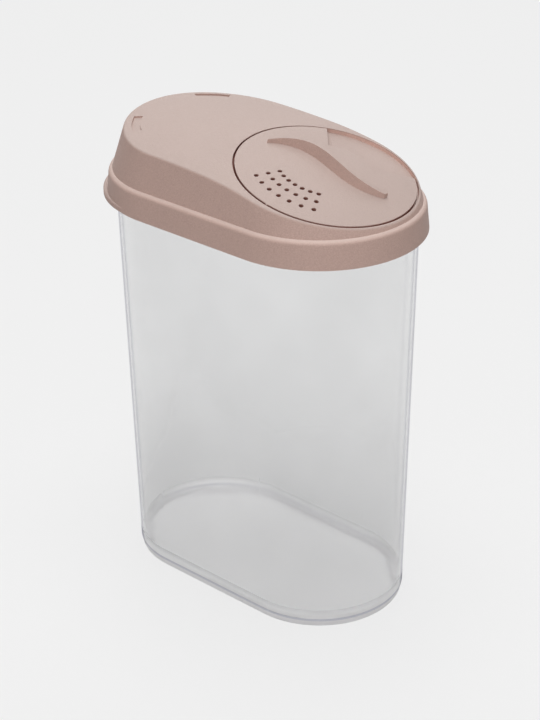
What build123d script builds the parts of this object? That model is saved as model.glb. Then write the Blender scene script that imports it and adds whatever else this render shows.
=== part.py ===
from build123d import *
import os
from math import cos, radians, sin, sqrt, tan

# Laundry powder dispenser: a clear oblong container, a lift-off lid with a domed,
# forward-sloping top, and a dial in the lid that opens a pour mouth or a sprinkler.
# Millimetres. +X points to the pouring end, +Z is up, and z = 0 is the standing face.

# Container
half_straight = 34.6
base_radius = 43.3
mouth_radius = 47.8
container_height = 210.5
container_wall = 1.5
floor_thickness = 2.0
floor_fillet = 4.0
foot_height = 2.7
foot_inset = 0.8
foot_width = 1.8
shoulder_fillet = 0.6
rim_chamfer = 0.3
gate_diameter = 19.0
gate_depth = 0.15

# Lid rim, which hangs over the container's mouth
skirt_gap = 1.3
skirt_wall = 2.0
skirt_drop = 10.5
skirt_draft = 5.6
ledge_rise = 3.45
ledge_width = 1.75
ledge_fillet = 2.9
plug_clearance = 0.45
plug_wall = 1.5
plug_depth = 6.0
seat_thickness = 1.5

# Lifting lip under the rear end of the rim
lip_reach = 3.1
lip_radius = 51.2
lip_thickness = 2.6
lip_fillet = 0.7

# Raised top of the lid, closed by a dome
side_draft = 9.0
end_draft = 20.0
raised_reach = 40.0
lid_wall = 2.2
dome_radius = 205.0
rear_dome_radius = 700.0
crest_lean = 3.7
dome_half_arc = 18.0
front_sweep = 35.0
rear_sweep = 9.0
edge_fillet = 1.2

# Dial seat, measured along and across the dial's own tilted axis
dial_ahead = 38.9
dial_rise = 16.1
dial_tilt = 13.6
dial_rest = 2.2
pocket_radius = 44.3
pocket_depth = 2.2
pocket_floor = 1.8
pocket_wall = 1.8
boss_radius = 9.0
boss_height = 1.0

# Dial
dial_gap = 1.05
seat_play = 0.1
dial_shell = 1.9
dial_rim = 1.6
cell_inner = 21.5
cell_half_angle = 38.5
cell_wall = 1.4
window_inset = 0.4
window_rim = 2.8
window_half_angle = 35.0
hub_radius = 6.0
hub_clearance = 0.05
hub_wall = 1.8
hook_reach = 0.8
hook_height = 1.8
hook_play = 0.15
prong_slot = 1.6
nub_radius = 0.6
nub_proud = 0.5

# Sprinkle holes
hole_diameter = 2.3
hole_rows = 3
holes_per_row = 7
first_row = 23.9
row_pitch = 5.7
hole_step = 9.8

# Thumb rib, an S in plan under an arched crest
rib_half_length = 32.4
rib_back = 1.0
rib_hook = 3.9
rib_curl = 2.9
rib_taper = 0.35
rib_height = 6.1
rib_crest_radius = 82.0
rib_top_width = 1.0
rib_steps = 6
rib_draft = 10.0
rib_aside = 0.8

# Stacking keys: pads under the container and matching recesses in the lid's top
key_radius = 39.8
key_width = 4.3
key_span = 25.0
pad_angle = 47.5
recess_angle = 42.5
recess_depth = 0.9
recess_reach = 9.0

# The frame's origin is midway between the two ends of the finished object, lip included
skirt_radius = mouth_radius + skirt_gap + skirt_wall
skirt_foot_radius = skirt_radius + skirt_drop * tan(radians(skirt_draft))
centre_x = lip_reach / 2

seat_z = container_height
skirt_foot_z = seat_z - skirt_drop
ledge_z = seat_z + ledge_rise
ledge_radius = skirt_radius - ledge_rise * tan(radians(skirt_draft))
raised_radius = ledge_radius - ledge_width
raised_top_z = ledge_z + raised_reach

dial_centre = Vector(centre_x + dial_ahead, 0, seat_z + dial_rise)
lean = radians(dial_tilt)
dial_plane = Plane(dial_centre, x_dir=(cos(lean), 0, -sin(lean)), z_dir=(sin(lean), 0, cos(lean)))
dial_radius = pocket_radius - dial_gap
sphere_drop = sqrt(dome_radius**2 - pocket_radius**2)
sphere_centre = dial_centre - dial_plane.z_dir * sphere_drop


def level(height):
    """Horizontal plane at a height, centred on the container."""
    return Plane((centre_x, 0, height))


def dial_level(height):
    """Plane across the dial's axis, above or below the edge of its seat."""
    return dial_plane.offset(height)


def oblong(straight, radius):
    """Round-ended oblong, given half its straight length and its end radius."""
    SlotCenterToCenter(2 * straight, 2 * radius)


def oblong_solid(low, high):
    """Solid between two oblongs, each given as height, half straight length and end radius."""
    with BuildPart() as body:
        for height, straight, radius in (low, high):
            with BuildSketch(level(height)):
                oblong(straight, radius)
        loft(ruled=True)
    return body.part


def raised_section(height, inset):
    """Oblong of the raised top at a height, moved in from its outside."""
    rise = height - ledge_z
    side = raised_radius - rise * tan(radians(side_draft)) - inset
    straight = half_straight - rise * (tan(radians(end_draft)) - tan(radians(side_draft)))
    return height, straight, side


def under_dome(inset):
    """Everything under the domed top, moved in from its outside.

    Ahead of the crest the dome is part of a sphere, which a turning dial stays flush with.
    Behind it the same cross arc runs back along a flatter curve.
    """
    radius = dome_radius - inset
    crest = radians(crest_lean)
    section = Plane(sphere_centre, x_dir=(0, 1, 0), z_dir=(cos(crest), 0, -sin(crest)))
    half_arc = radians(dome_half_arc)
    depth = radius / 2
    rear_axis = sphere_centre + Vector(sin(crest), 0, cos(crest)) * (dome_radius - rear_dome_radius)
    with BuildPart() as dome:
        for pivot, turn in ((sphere_centre, front_sweep), (rear_axis, -rear_sweep)):
            with BuildSketch(section):
                with BuildLine():
                    left = radius * Vector(-sin(half_arc), cos(half_arc))
                    right = radius * Vector(sin(half_arc), cos(half_arc))
                    RadiusArc(left, right, radius)
                    Polyline(right, (right.X, depth), (left.X, depth), left)
                make_face()
            revolve(axis=Axis(pivot, (0, 1, 0)), revolution_arc=turn)
    return dome.part


def ring_sector(inner, outer, middle, half_angle):
    """Sector of a ring about the origin."""
    start = middle - half_angle
    with BuildSketch() as sector:
        with BuildLine():
            low = CenterArc((0, 0), inner, start, 2 * half_angle)
            high = CenterArc((0, 0), outer, start, 2 * half_angle)
            Line(low @ 0, high @ 0)
            Line(low @ 1, high @ 1)
        make_face()
    return sector.sketch


container_outside = oblong_solid(
    (foot_height, half_straight, base_radius), (container_height, half_straight, mouth_radius)
)
wall_slope = (mouth_radius - base_radius) / (container_height - foot_height)
floor_z = foot_height + floor_thickness
floor_radius = base_radius + floor_thickness * wall_slope - container_wall
container_inside = oblong_solid(
    (floor_z, half_straight, floor_radius), (container_height, half_straight, mouth_radius - container_wall)
)
foot_radius = base_radius - foot_inset
key_inner = key_radius - key_width / 2
key_outer = key_radius + key_width / 2

with BuildPart() as container:
    add(container_outside)
    fillet(container.edges().group_by(Axis.Z)[0], shoulder_fillet)
    add(container_inside, mode=Mode.SUBTRACT)
    inner_corner = container.edges().filter_by_position(Axis.Z, floor_z - 0.01, floor_z + 0.01)
    fillet(inner_corner, floor_fillet)
    chamfer(container.edges().group_by(Axis.Z)[-1], rim_chamfer)
    # Foot ring
    with BuildSketch(level(0)):
        oblong(half_straight, foot_radius)
        with BuildSketch(mode=Mode.PRIVATE) as foot_hollow:
            oblong(half_straight, foot_radius - foot_width)
        add(foot_hollow.sketch, mode=Mode.SUBTRACT)
    extrude(amount=foot_height)
    # Arched stacking pads in the foot's four corners
    for end in (0, 180):
        for side in (-1, 1):
            end_plane = Plane((centre_x + half_straight * cos(radians(end)), 0, 0))
            with BuildSketch(end_plane):
                add(ring_sector(key_inner, key_outer, end + side * pad_angle, key_span / 2))
            extrude(amount=foot_height)
    # Gate mark under the floor
    with BuildSketch(level(foot_height)):
        Circle(gate_diameter / 2)
    extrude(amount=gate_depth, mode=Mode.SUBTRACT)
container.part.label = "container"

# Solids that the lid and the dial are cut and bounded with
plug_radius = mouth_radius - container_wall - plug_clearance
seat_top_z = seat_z + seat_thickness
plug_foot_z = seat_z - plug_depth
floor_level = -pocket_depth
underside_level = floor_level - pocket_floor
boss_level = underside_level - boss_height
bore_radius = hub_radius + hub_clearance
crest_z = sphere_centre.Z + dome_radius
raised_block = oblong_solid(raised_section(seat_z, 0), raised_section(raised_top_z, 0))
hollow_block = oblong_solid(raised_section(seat_top_z, lid_wall), raised_section(raised_top_z, lid_wall))
rim_block = oblong_solid(
    (skirt_foot_z, half_straight, skirt_foot_radius), (ledge_z, half_straight, ledge_radius)
)
skirt_inside = oblong_solid(
    (skirt_foot_z, half_straight, skirt_foot_radius - skirt_wall),
    (seat_z, half_straight, skirt_radius - skirt_wall),
)
outer_dome = under_dome(0)
inner_dome = under_dome(lid_wall)
recess_dome = under_dome(recess_depth)

with BuildPart() as raised_top:
    add(raised_block)
    add(outer_dome, mode=Mode.INTERSECT)
    crown = raised_top.faces().filter_by(lambda face: face.geom_type in (GeomType.SPHERE, GeomType.TORUS))
    # The seam across the crown is its only edge near the middle
    crown_rim = crown.edges().filter_by(
        lambda edge: abs(edge.center().X - centre_x) + abs(edge.center().Y) > half_straight / 2
    )
    fillet(crown_rim, edge_fillet)

with BuildPart() as lid_hollow:
    add(hollow_block)
    add(inner_dome, mode=Mode.INTERSECT)
    with BuildSketch(level(plug_foot_z)):
        oblong(half_straight, plug_radius - plug_wall)
    extrude(amount=seat_top_z - plug_foot_z)
    # The dial's seat hangs into the hollow
    with BuildSketch(dial_level(underside_level)):
        Circle(pocket_radius + pocket_wall)
    extrude(amount=pocket_radius, mode=Mode.SUBTRACT)

with BuildPart() as lift_lip:
    lip_centre_x = centre_x - half_straight - skirt_foot_radius - lip_reach + lip_radius
    with BuildSketch(Plane((lip_centre_x, 0, skirt_foot_z))):
        Circle(lip_radius)
    extrude(amount=lip_thickness)
    fillet(lift_lip.edges().filter_by(GeomType.CIRCLE).group_by(Axis.Z)[-1], lip_fillet)

with BuildPart() as key_recesses:
    recess_plane = Plane((centre_x - raised_section(crest_z, 0)[1], 0, crest_z - recess_reach))
    for side in (-1, 1):
        with BuildSketch(recess_plane):
            add(ring_sector(key_inner, key_outer, 180 + side * recess_angle, key_span / 2))
        extrude(amount=2 * recess_reach)
    add(recess_dome, mode=Mode.SUBTRACT)

with BuildPart() as lid:
    # Rim with its rounded ledge
    add(rim_block)
    fillet(lid.edges().group_by(Axis.Z)[-1], ledge_fillet)
    add(lift_lip.part)
    add(raised_top.part)
    # Inside of the skirt, up to the flat that rests on the container's rim
    add(skirt_inside, mode=Mode.SUBTRACT)
    # Plug ring that drops inside the container's mouth
    with BuildSketch(level(plug_foot_z)):
        oblong(half_straight, plug_radius)
    extrude(amount=plug_depth)
    add(lid_hollow.part, mode=Mode.SUBTRACT)
    # Round seat for the dial
    with BuildSketch(dial_level(floor_level)):
        Circle(pocket_radius)
    extrude(amount=pocket_radius, mode=Mode.SUBTRACT)
    with BuildSketch(dial_level(underside_level)):
        Circle(boss_radius)
    extrude(amount=-boss_height)
    with BuildSketch(dial_level(floor_level)):
        Circle(bore_radius)
    extrude(amount=boss_level - floor_level, mode=Mode.SUBTRACT)
    # Pouring window in the seat's floor, at the low front end
    with BuildSketch(dial_level(floor_level)):
        add(ring_sector(cell_inner + window_inset, pocket_radius - window_rim, 0, window_half_angle))
    extrude(amount=-pocket_floor, mode=Mode.SUBTRACT)
    add(key_recesses.part, mode=Mode.SUBTRACT)
lid.part.label = "lid"


def ball(inset):
    """Ball that the dial's dome is part of, moved in from its outside."""
    with BuildPart() as body:
        with Locations(sphere_centre):
            Sphere(dome_radius - inset)
    return body.part


def dial_face(height):
    """Plane across the dial, turned to where the closed dial rests."""
    turn = radians(dial_rest)
    across = dial_plane.x_dir * cos(turn) + dial_plane.y_dir * sin(turn)
    return Plane(dial_centre, x_dir=across, z_dir=dial_plane.z_dir).offset(height)


def rib_outline(width):
    """S-shaped outline of the thumb rib: a cubic centre line, narrower towards its tips."""
    stations = [rib_half_length * step / rib_steps for step in range(-rib_steps, rib_steps + 1)]
    sides = []
    for side in (-1, 1):
        points = []
        for station in stations:
            share = station / rib_half_length
            middle = rib_aside + rib_hook * (rib_curl * share**3 - (rib_curl - 1) * share)
            points.append((station - rib_back, middle + side * width / 2 * (1 - rib_taper * share**2)))
        sides.append(points)
    with BuildSketch() as outline:
        with BuildLine():
            near = Spline(*sides[0])
            far = Spline(*sides[1])
            Line(near @ 0, far @ 0)
            Line(near @ 1, far @ 1)
        make_face()
    return outline.sketch


crown_height = dome_radius - sphere_drop
rib_top = crown_height + rib_height
rib_foot_width = rib_top_width + 2 * rib_top * tan(radians(rib_draft))
cell_angles = (90, -90, 0)
dial_ball = ball(0)
shell_ball = ball(dial_shell)
dial_foot = floor_level + seat_play
root_ball = ball(dial_shell / 2)

with BuildPart() as thumb_rib:
    with BuildSketch(dial_face(0)):
        add(rib_outline(rib_foot_width))
    with BuildSketch(dial_face(rib_top)):
        add(rib_outline(rib_top_width))
    loft(ruled=True)
    # Arched crest
    crest_plane = Plane(dial_face(rib_top - rib_crest_radius).origin, dial_face(0).x_dir, dial_face(0).y_dir)
    with BuildSketch(crest_plane):
        Circle(rib_crest_radius)
    extrude(amount=rib_half_length, both=True, mode=Mode.INTERSECT)
    add(root_ball, mode=Mode.SUBTRACT)

with BuildPart() as dial_hollow:
    with BuildSketch(dial_face(dial_foot)):
        Circle(dial_radius - dial_rim)
        Circle(boss_radius, mode=Mode.SUBTRACT)
    extrude(amount=pocket_radius)
    # Walls round the three cells: pour mouth, sprinkler and the blank that shuts the window
    for angle in cell_angles:
        with BuildSketch(dial_face(dial_foot)):
            add(ring_sector(cell_inner, dial_radius, angle, cell_half_angle))
            offset(amount=cell_wall, kind=Kind.INTERSECTION)
            add(ring_sector(cell_inner, dial_radius, angle, cell_half_angle), mode=Mode.SUBTRACT)
        extrude(amount=pocket_radius, mode=Mode.SUBTRACT)
    # Bore up the middle of the hub
    with BuildSketch(dial_face(dial_foot)):
        Circle(hub_radius - hub_wall)
    extrude(amount=pocket_radius)
    add(shell_ball, mode=Mode.INTERSECT)

hook_top = boss_level - hook_play
hook_foot = hook_top - hook_height
slot_length = 2 * (hub_radius + hook_reach + prong_slot)

with BuildPart() as dial:
    with BuildSketch(dial_face(dial_foot)):
        Circle(dial_radius)
        # Nub that marks the sprinkler's side
        with PolarLocations(dial_radius + nub_proud - nub_radius, 1, start_angle=-90):
            Circle(nub_radius)
    extrude(amount=pocket_radius)
    add(dial_ball, mode=Mode.INTERSECT)
    add(thumb_rib.part)
    add(dial_hollow.part, mode=Mode.SUBTRACT)
    # Hub with four hooked prongs, snapped through the lid's bore
    with BuildSketch(dial_face(hook_foot)):
        Circle(hub_radius)
    extrude(amount=dial_foot - hook_foot)
    with BuildSketch(dial_face(hook_foot)):
        Circle(hub_radius + hook_reach)
    extrude(amount=hook_height)
    with BuildSketch(dial_face(hook_foot)):
        Circle(hub_radius - hub_wall)
    extrude(amount=dial_foot - hook_foot, mode=Mode.SUBTRACT)
    with BuildSketch(dial_face(hook_foot)):
        Rectangle(slot_length, prong_slot)
        Rectangle(prong_slot, slot_length)
    extrude(amount=underside_level - hook_foot, mode=Mode.SUBTRACT)
    # Pour mouth, open through the dial's edge
    with BuildSketch(dial_face(dial_foot)):
        add(ring_sector(cell_inner, pocket_radius, 90, cell_half_angle))
    extrude(amount=pocket_radius, mode=Mode.SUBTRACT)
    # Sprinkle holes in arcs about the hub
    with BuildSketch(dial_face(dial_foot)):
        for row in range(hole_rows):
            reach = first_row + row * row_pitch
            half_fan = hole_step * (holes_per_row - 1) / 2
            with PolarLocations(reach, holes_per_row, -90 - half_fan, 2 * half_fan, endpoint=True):
                Circle(hole_diameter / 2)
    extrude(amount=pocket_radius, mode=Mode.SUBTRACT)
dial.part.label = "dial"

os.makedirs("parts", exist_ok=True)
for piece in (container, lid, dial):
    export_step(piece.part, f"parts/{piece.part.label}.step")
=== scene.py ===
import math

import bpy
from mathutils import Matrix, Vector

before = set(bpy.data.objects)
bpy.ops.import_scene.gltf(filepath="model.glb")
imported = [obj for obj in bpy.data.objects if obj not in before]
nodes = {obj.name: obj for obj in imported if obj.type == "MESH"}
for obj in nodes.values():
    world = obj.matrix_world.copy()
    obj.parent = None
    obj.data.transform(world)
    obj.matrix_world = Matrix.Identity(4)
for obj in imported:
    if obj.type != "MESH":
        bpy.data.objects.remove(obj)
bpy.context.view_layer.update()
print("frame loaded")


# Shader maths
white = (1, 1, 1, 1)
noiseBand = (0.3, 0.7)  # where most of a noise's values lie


class Sock:  # one output socket that takes part in plain expressions
    def __init__(self, shade, socket):
        self.shade, self.socket = shade, socket

    def maths(self, operation, first, second):
        made = self.shade.node("ShaderNodeMath", {"operation": operation}, {0: first, 1: second})
        return made[0]

    def __add__(self, other):
        return self.maths("ADD", self, other)

    def __radd__(self, other):
        return self.maths("ADD", other, self)

    def __sub__(self, other):
        return self.maths("SUBTRACT", self, other)

    def __rsub__(self, other):
        return self.maths("SUBTRACT", other, self)

    def __mul__(self, other):
        return self.maths("MULTIPLY", self, other)

    def __rmul__(self, other):
        return self.maths("MULTIPLY", other, self)


class Made:  # a new node; its outputs are read by name or number
    def __init__(self, shade, made):
        self.shade, self.made = shade, made

    def __getitem__(self, key):
        return Sock(self.shade, self.made.outputs[key])


class Shade:  # the node tree of one material or of the world
    def __init__(self, owner):
        owner.use_nodes = True
        self.tree = owner.node_tree
        self.tree.nodes.clear()

    def node(self, kind, settings=None, sockets=None):
        made = self.tree.nodes.new(kind)
        for name, value in (settings or {}).items():
            setattr(made, name, value)
        for key, value in (sockets or {}).items():
            if isinstance(value, Sock):
                self.tree.links.new(value.socket, made.inputs[key])
            else:
                made.inputs[key].default_value = value
        return Made(self, made)

    def noise(self, where, size, detail, roughness=0.5):
        made = self.node(
            "ShaderNodeTexNoise",
            sockets={"Vector": where, "Scale": 1 / size, "Detail": detail, "Roughness": roughness},
        )
        return made[0]

    def ramp(self, value, start, stop):  # 0 at start, 1 at stop
        made = self.node(
            "ShaderNodeMapRange",
            sockets={"Value": value, "From Min": start, "From Max": stop},
        )
        return made[0]

    def below(self, value, limit, soften):  # 1 up to the limit, 0 from a little above it
        return 1 - self.ramp(value, limit, limit + soften)

    def spread(self, value, low, high):  # carries a noise's usual band onto low..high
        start, stop = noiseBand
        made = self.node(
            "ShaderNodeMapRange",
            sockets={"Value": value, "From Min": start, "From Max": stop, "To Min": low, "To Max": high},
        )
        return made[0]

    def grey(self, value):  # one number as a colour
        made = self.node(
            "ShaderNodeCombineColor",
            sockets={"Red": value, "Green": value, "Blue": value},
        )
        return made[0]

    def mixColour(self, factor, first, second, blend="MIX"):  # inputs 6 and 7 are its colours
        made = self.node(
            "ShaderNodeMix",
            {"data_type": "RGBA", "blend_type": blend},
            {0: factor, 6: first, 7: second},
        )
        return made[2]

    def multiply(self, first, second):
        return self.mixColour(1.0, first, second, "MULTIPLY")

    def vector(self, operation, first, second=(0, 0, 0), output="Vector"):
        made = self.node("ShaderNodeVectorMath", {"operation": operation}, {0: first, 1: second})
        return made[output]

    def length(self, vector):
        return self.vector("LENGTH", vector, output="Value")

    def output(self, shader, kind="ShaderNodeOutputMaterial"):
        self.node(kind, sockets={"Surface": shader})


def opaque(colour):
    return colour + (1,)


def plainGrey(level):
    return (level, level, level, 1)


# Pink moulded plastic, on the lid and the dial
pinkLook = {
    # The tops carry a greyer colour than the sides: a painted sheen where the light falls from above
    "sides": (0.556, 0.387, 0.336),
    "tops": (0.496, 0.389, 0.352),
    "steep": 0.35,  # upward share of the normal, up to which a surface is a side
    "level": 0.85,  # and from which it is a top
    "cloud": {"size": 0.030, "detail": 3.0},  # metres across one soft change of tone
    "cloudShare": 0.02,
    # Darker flecks, stronger on the sides than on the tops: random tone, and painted shade of the grain
    # where light grazes the sides
    "fleck": {"size": 0.0006, "detail": 2.0, "roughness": 0.6},
    "fleckTops": 0.05,
    "fleckSides": 0.15,
    "roughLow": 0.50,
    "roughHigh": 0.60,
    "ior": 1.46,
    "gloss": 0.24,
    "grain": {"size": 0.0006, "detail": 3.0, "roughness": 0.6},
    "grainDepth": 0.00018,
    "pebble": {"size": 0.0016, "detail": 1.0},
    "pebbleShare": 0.5,
    "dialCentre": (0.04045, 0, 0.2266),
    "dialTilt": 13.6,  # degrees from upright, towards x
    "domeRadius": 0.205,
    "domeDrop": 0.20016,  # from the dial's centre down its axis to the middle of the dome
    "deepStart": 0.0001,  # metres under the dome
    "deepFull": 0.0007,
    # Painted shade in the gap round the dial and in the dial's holes
    "deep": (0.45, 0.24, 0.21),
    # Painted light on the seat's far wall and on the ledge
    "pale": (1.31, 1.30, 1.29),
}

# Where each moulding gets painted shade or painted light; each pair is the start and the end of one soft
# change
seatSpots = {
    "shift": (0, 0, 0),  # moves the noises, so that the two mouldings differ
    "gapIn": (0.0431, 0.0432),  # distances from the dial's axis
    "wallIn": (0.0441, 0.0442),
    "wallOut": (0.0444, 0.0445),
    "farSide": (-0.008, 0.008),  # x and y together, from the dial's centre
    "ledgeLow": (-0.0153, -0.0146),  # heights from the dial's centre
    "ledgeHigh": (-0.0127, -0.0125),
    "ledgeUpward": (0.3, 0.7),  # upward share of the normal
}
dialSpots = {
    "shift": (0.3, 0.1, 0),
    "edge": (0.0431, 0.0432),
    "holesEnd": (-0.006, -0.004),  # y from the dial's centre
}


# Painted shade in the gap on the near side; painted light on the seat's far wall and on the ledge
def seatPlaces(shade, spots, depth, radius, across, upward):
    inside = depth * (1 - shade.ramp(radius, *spots["wallOut"]))
    far = shade.ramp(across["X"] + across["Y"], *spots["farSide"])
    wall = inside * shade.ramp(radius, *spots["wallIn"])
    ledge = shade.ramp(across["Z"], *spots["ledgeLow"]) * (1 - shade.ramp(across["Z"], *spots["ledgeHigh"]))
    gap = inside * shade.ramp(radius, *spots["gapIn"])
    return gap * (1 - far), wall * far + ledge * shade.ramp(upward, *spots["ledgeUpward"])


# Painted shade in the dial's holes and round its edge
def dialPlaces(shade, spots, depth, radius, across, upward):
    holes = 1 - shade.ramp(across["Y"], *spots["holesEnd"])
    edge = shade.ramp(radius, *spots["edge"])
    return depth * (holes + edge - holes * edge), 0.0  # the dial gets no painted light


def pinkPlastic(name, look, spots, places):
    material = bpy.data.materials.new(name)
    shade = Shade(material)
    place = shade.node("ShaderNodeTexCoord")["Object"]
    where = shade.node("ShaderNodeMapping", sockets={"Vector": place, "Location": spots["shift"]})[0]
    cloud = shade.noise(where, **look["cloud"])
    fleck = shade.noise(where, **look["fleck"])
    normal = shade.node("ShaderNodeNewGeometry")["Normal"]
    upward = shade.node("ShaderNodeSeparateXYZ", sockets={"Vector": normal})["Z"]
    # Sides and tops blend by slope; the greyer top colour is painted sheen
    level = shade.ramp(upward, look["steep"], look["level"])
    clouded = shade.mixColour(shade.spread(cloud, 0, 1), plainGrey(1 - look["cloudShare"]), white)
    base = shade.mixColour(level, opaque(look["sides"]), opaque(look["tops"]))
    share = look["fleckSides"] + level * (look["fleckTops"] - look["fleckSides"])
    darker = 1 - shade.spread(fleck, 0, 1) * share
    colour = shade.multiply(shade.multiply(base, clouded), shade.grey(darker))
    # Painted shade and painted light round the dial, by the distance from its axis and the depth under its
    # dome
    tilt, centre = math.radians(look["dialTilt"]), Vector(look["dialCentre"])
    axis = Vector((math.sin(tilt), 0, math.cos(tilt)))
    offset = shade.vector("SUBTRACT", place, tuple(centre))
    under = shade.vector("SUBTRACT", place, tuple(centre - axis * look["domeDrop"]))
    radius = shade.length(shade.vector("CROSS_PRODUCT", offset, tuple(axis)))
    depth = shade.ramp(look["domeRadius"] - shade.length(under), look["deepStart"], look["deepFull"])
    across = shade.node("ShaderNodeSeparateXYZ", sockets={"Vector": offset})
    deep, pale = places(shade, spots, depth, radius, across, upward)
    colour = shade.multiply(colour, shade.mixColour(deep, white, opaque(look["deep"])))
    colour = shade.multiply(colour, shade.mixColour(pale, white, opaque(look["pale"])))
    # Fine moulded grain over small pebbles
    pebble = shade.noise(where, **look["pebble"])
    height = shade.noise(where, **look["grain"]) + pebble * look["pebbleShare"]
    bump = shade.node(
        "ShaderNodeBump",
        sockets={"Strength": 1.0, "Distance": look["grainDepth"], "Height": height},
    )
    plastic = shade.node(
        "ShaderNodeBsdfPrincipled",
        sockets={
            "Base Color": colour,
            "Roughness": shade.spread(pebble, look["roughLow"], look["roughHigh"]),
            "IOR": look["ior"],
            "Specular IOR Level": look["gloss"],
            "Normal": bump["Normal"],
        },
    )
    shade.output(plastic["BSDF"])
    return material


# Clear moulded plastic, on the container
clearLook = {
    "wall": (0.925, 0.926, 0.928),
    "base": (0.785, 0.785, 0.788),
    "baseTop": 0.118,  # metres up to which the walls are darker, painted shade for the floor's shadow seen through them
    "cloud": {"size": 0.06, "detail": 2.0},
    "cloudShare": 0.05,
    "shoulder": (0.42, 0.42, 0.50),  # a thin line of painted shade above the foot
    "shoulderLow": 0.0031,
    "shoulderHigh": 0.0044,
    "plate": (0.99, 0.99, 0.992),  # the base, up to the inner floor and its rounded corner
    "plateHigh": 0.0066,
    "cornerHigh": 0.0090,
    "matteHigh": 0.0092,  # everything under this is rougher
    "foot": (0.70, 0.69, 0.70),
    "footHigh": 0.0025,
    "soften": 0.0001,
    "edge": (0.05, 0.05, 0.10),  # painted shade where it is seen along its own wall
    "edgeBlend": 0.5,
    "edgeStart": 0.78,
    "edgeFull": 0.88,
    "rimHigh": 0.209,  # the cut rim above this keeps the plain tint
    "ior": 1.49,
    "roughLow": 0.02,
    "roughHigh": 0.07,
    "footRough": 0.30,
    "wave": {"size": 0.055, "detail": 1.0},
    "waveDepth": 0.00005,
    "speck": {"size": 0.0022, "detail": 4.0, "roughness": 0.7},
    "lampPass": 0.92,
}


def clearPlastic(name, look):
    material = bpy.data.materials.new(name)
    shade = Shade(material)
    where = shade.node("ShaderNodeTexCoord")["Object"]
    height = shade.node("ShaderNodeSeparateXYZ", sockets={"Vector": where})["Z"]
    cloud = shade.noise(where, **look["cloud"])
    wave = shade.noise(where, **look["wave"])
    speck = shade.noise(where, **look["speck"])
    soften = look["soften"]
    # Darker towards the bottom: painted shade for the shadowed floor seen through the walls
    rise = shade.ramp(height, 0, look["baseTop"])
    walls = shade.mixColour(rise, opaque(look["base"]), opaque(look["wall"]))
    clouded = shade.mixColour(shade.spread(cloud, 0, 1), plainGrey(1 - look["cloudShare"]), white)
    # A thin painted shade line at the foot's shoulder
    line = shade.ramp(height, look["shoulderLow"] - soften, look["shoulderLow"])
    line = line * shade.below(height, look["shoulderHigh"], soften)
    foot = shade.below(height, look["footHigh"], soften)
    low = 1 - shade.ramp(height, look["plateHigh"], look["cornerHigh"])
    colour = shade.mixColour(low, shade.multiply(walls, clouded), opaque(look["plate"]))
    colour = shade.mixColour(line, colour, opaque(look["shoulder"]))
    colour = shade.mixColour(foot, colour, opaque(look["foot"]))
    matte = shade.below(height, look["matteHigh"], soften)
    rough = shade.spread(speck, look["roughLow"], look["roughHigh"]) + matte * look["footRough"]
    bump = shade.node(
        "ShaderNodeBump",
        sockets={"Strength": 1.0, "Distance": look["waveDepth"], "Height": wave},
    )
    # The body keeps the plain tint; the rim shader carries the painted shade seen along the wall
    body, rim = (
        shade.node(
            "ShaderNodeBsdfPrincipled",
            sockets={
                "Base Color": base,
                "Roughness": rough,
                "IOR": look["ior"],
                "Transmission Weight": 1.0,
                "Normal": bump["Normal"],
            },
        )
        for base in (colour, opaque(look["edge"]))
    )
    # Painted shade: the plastic turns dark grey where it is seen along its own wall, for the darker
    # surroundings that the bent light shows there
    facing = shade.node("ShaderNodeLayerWeight", sockets={"Blend": look["edgeBlend"]})["Facing"]
    outside = 1 - shade.node("ShaderNodeNewGeometry")["Backfacing"]
    walled = shade.below(height, look["rimHigh"], soften)
    edgeShare = outside * walled * shade.ramp(facing, look["edgeStart"], look["edgeFull"])
    plastic = shade.node(
        "ShaderNodeMixShader",
        sockets={0: edgeShare, 1: body["BSDF"], 2: rim["BSDF"]},
    )
    # Lamps reach what is behind the clear walls
    clear = shade.node("ShaderNodeBsdfTransparent", sockets={"Color": plainGrey(look["lampPass"])})
    lampRay = shade.node("ShaderNodeLightPath")["Is Shadow Ray"]
    mixed = shade.node("ShaderNodeMixShader", sockets={0: lampRay, 1: plastic[0], 2: clear[0]})
    shade.output(mixed[0])
    return material


def dress(node, material):
    piece = nodes[node]
    piece.data.materials.clear()
    piece.data.materials.append(material)


dress("lid", pinkPlastic("lidPlastic", pinkLook, seatSpots, seatPlaces))
dress("dial", pinkPlastic("dialPlastic", pinkLook, dialSpots, dialPlaces))
dress("container", clearPlastic("containerPlastic", clearLook))
print("plastics on")


# Floor and world
studio = {
    "white": 0.863,  # what the background shows
    "worldLevel": 0.27,
    "paperLit": 0.55,  # the paper as it lights other surfaces
    "paperSeen": 0.80,  # the paper as it is seen, also in gloss and through the walls
    "floorShown": 0.75,  # share of glow on the floor seen straight; the rest takes the shadow
    "floorThrough": 0.54,  # the same, seen through the clear walls
    "floorGlow": 0.90,  # how bright the glow is near the part
    "fadeStart": 0.45,  # metres from the middle, where the floor starts to fade into the background
    "fadeFull": 1.5,
    "floorSize": 20.0,
    "floorDrop": 0.0001,
}


def seenRay(shade):  # 1 for rays that show the background
    path = shade.node("ShaderNodeLightPath")
    unseen = (1 - path["Is Camera Ray"]) * (1 - path["Is Glossy Ray"]) * (1 - path["Is Transmission Ray"])
    return 1 - unseen


def makeWorld(look):
    world = bpy.data.worlds.new("studio")
    bpy.context.scene.world = world
    shade = Shade(world)
    soft, shown = (
        shade.node("ShaderNodeBackground", sockets={"Color": white, "Strength": look[key]})
        for key in ("worldLevel", "white")
    )
    mixed = shade.node("ShaderNodeMixShader", sockets={0: seenRay(shade), 1: soft[0], 2: shown[0]})
    shade.output(mixed[0], "ShaderNodeOutputWorld")


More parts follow.
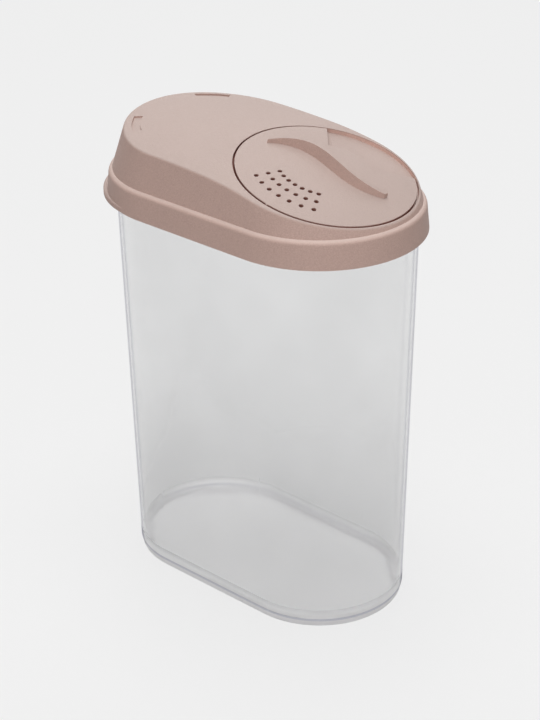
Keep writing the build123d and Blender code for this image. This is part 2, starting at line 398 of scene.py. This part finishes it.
def makeFloor(look):
    half = look["floorSize"] / 2
    corners = [(-half, -half), (half, -half), (half, half), (-half, half)]
    mesh = bpy.data.meshes.new("floor")
    mesh.from_pydata([(x, y, -look["floorDrop"]) for x, y in corners], [], [(0, 1, 2, 3)])
    floor = bpy.data.objects.new("floor", mesh)
    bpy.context.scene.collection.objects.link(floor)
    material = bpy.data.materials.new("floorPaper")
    shade = Shade(material)
    seen = seenRay(shade)
    through = shade.node("ShaderNodeLightPath")["Is Transmission Ray"]
    paperColour = shade.mixColour(seen, plainGrey(look["paperLit"]), plainGrey(look["paperSeen"]))
    paper = shade.node("ShaderNodeBsdfDiffuse", sockets={"Color": paperColour})
    away = shade.length(shade.node("ShaderNodeTexCoord")["Object"])
    fade = shade.ramp(away, look["fadeStart"], look["fadeFull"])
    glow = look["floorGlow"] + fade * (look["white"] - look["floorGlow"])
    shown = shade.node("ShaderNodeEmission", sockets={"Color": shade.grey(glow), "Strength": 1.0})
    share = seen * look["floorShown"] - through * (look["floorShown"] - look["floorThrough"])
    share = share + seen * fade * (1 - share)
    mixed = shade.node("ShaderNodeMixShader", sockets={0: share, 1: paper[0], 2: shown[0]})
    shade.output(mixed[0])
    mesh.materials.append(material)


# Lamps, with places and sizes in metres and power in watts
lamps = {
    "over": {"place": (0.0, 0.0, 1.8), "size": 1.2, "power": 15.0},
    "behind": {"place": (-0.75, 0.83, 1.25), "size": 1.2, "power": 6.3},
    "front": {"place": (0.75, -0.83, 1.5), "size": 1.2, "power": 3.5},
    "low": {"place": (1.1, -1.25, 0.7), "size": 1.2, "power": 9.5},
}
lampTarget = Vector((0, 0, 0.15))


def makeLamp(name, look):
    light = bpy.data.lights.new(name, "AREA")
    light.shape = "DISK"
    light.size, light.energy = look["size"], look["power"]
    lamp = bpy.data.objects.new(name, light)
    lamp.location = look["place"]
    lamp.rotation_mode = "QUATERNION"
    lamp.rotation_quaternion = (lampTarget - lamp.location).to_track_quat("-Z", "Y")
    lamp.visible_transmission = False  # no lamp shows through the clear walls
    bpy.context.scene.collection.objects.link(lamp)


makeWorld(studio)
makeFloor(studio)
for lampName, lampLook in lamps.items():
    makeLamp(lampName, lampLook)
print("studio lit")


# Camera
shot = {
    "yaw": 42.24,  # degrees
    "pitch": 27.42,
    "roll": -0.71,
    "distance": 0.977,
    "lens": 96.9,  # millimetres
    "sensor": 36.0,
    "aim": (0.00155, 0, 0.1163),
    "aside": 0.0016,
}


def makeCamera(look):
    yaw, pitch, roll = (math.radians(look[key]) for key in ("yaw", "pitch", "roll"))
    back = Vector((math.sin(yaw) * math.cos(pitch), -math.cos(yaw) * math.cos(pitch), math.sin(pitch)))
    level = (-back).cross(Vector((0, 0, 1))).normalized()
    upright = level.cross(-back)
    right = math.cos(roll) * level + math.sin(roll) * upright
    up = -math.sin(roll) * level + math.cos(roll) * upright
    place = Vector(look["aim"]) + level * look["aside"] + back * look["distance"]
    data = bpy.data.cameras.new("camera")
    data.lens, data.sensor_width = look["lens"], look["sensor"]
    camera = bpy.data.objects.new("camera", data)
    turned = Matrix((right, up, back)).transposed().to_4x4()
    camera.matrix_world = Matrix.Translation(place) @ turned
    bpy.context.scene.collection.objects.link(camera)
    bpy.context.scene.camera = camera


makeCamera(shot)
bpy.context.scene.view_settings.view_transform = "Standard"
bounces = {
    "max_bounces": 32,
    "glossy_bounces": 24,
    "transmission_bounces": 32,
    "transparent_max_bounces": 16,
}
for name, count in bounces.items():
    setattr(bpy.context.scene.cycles, name, count)
print("camera set")
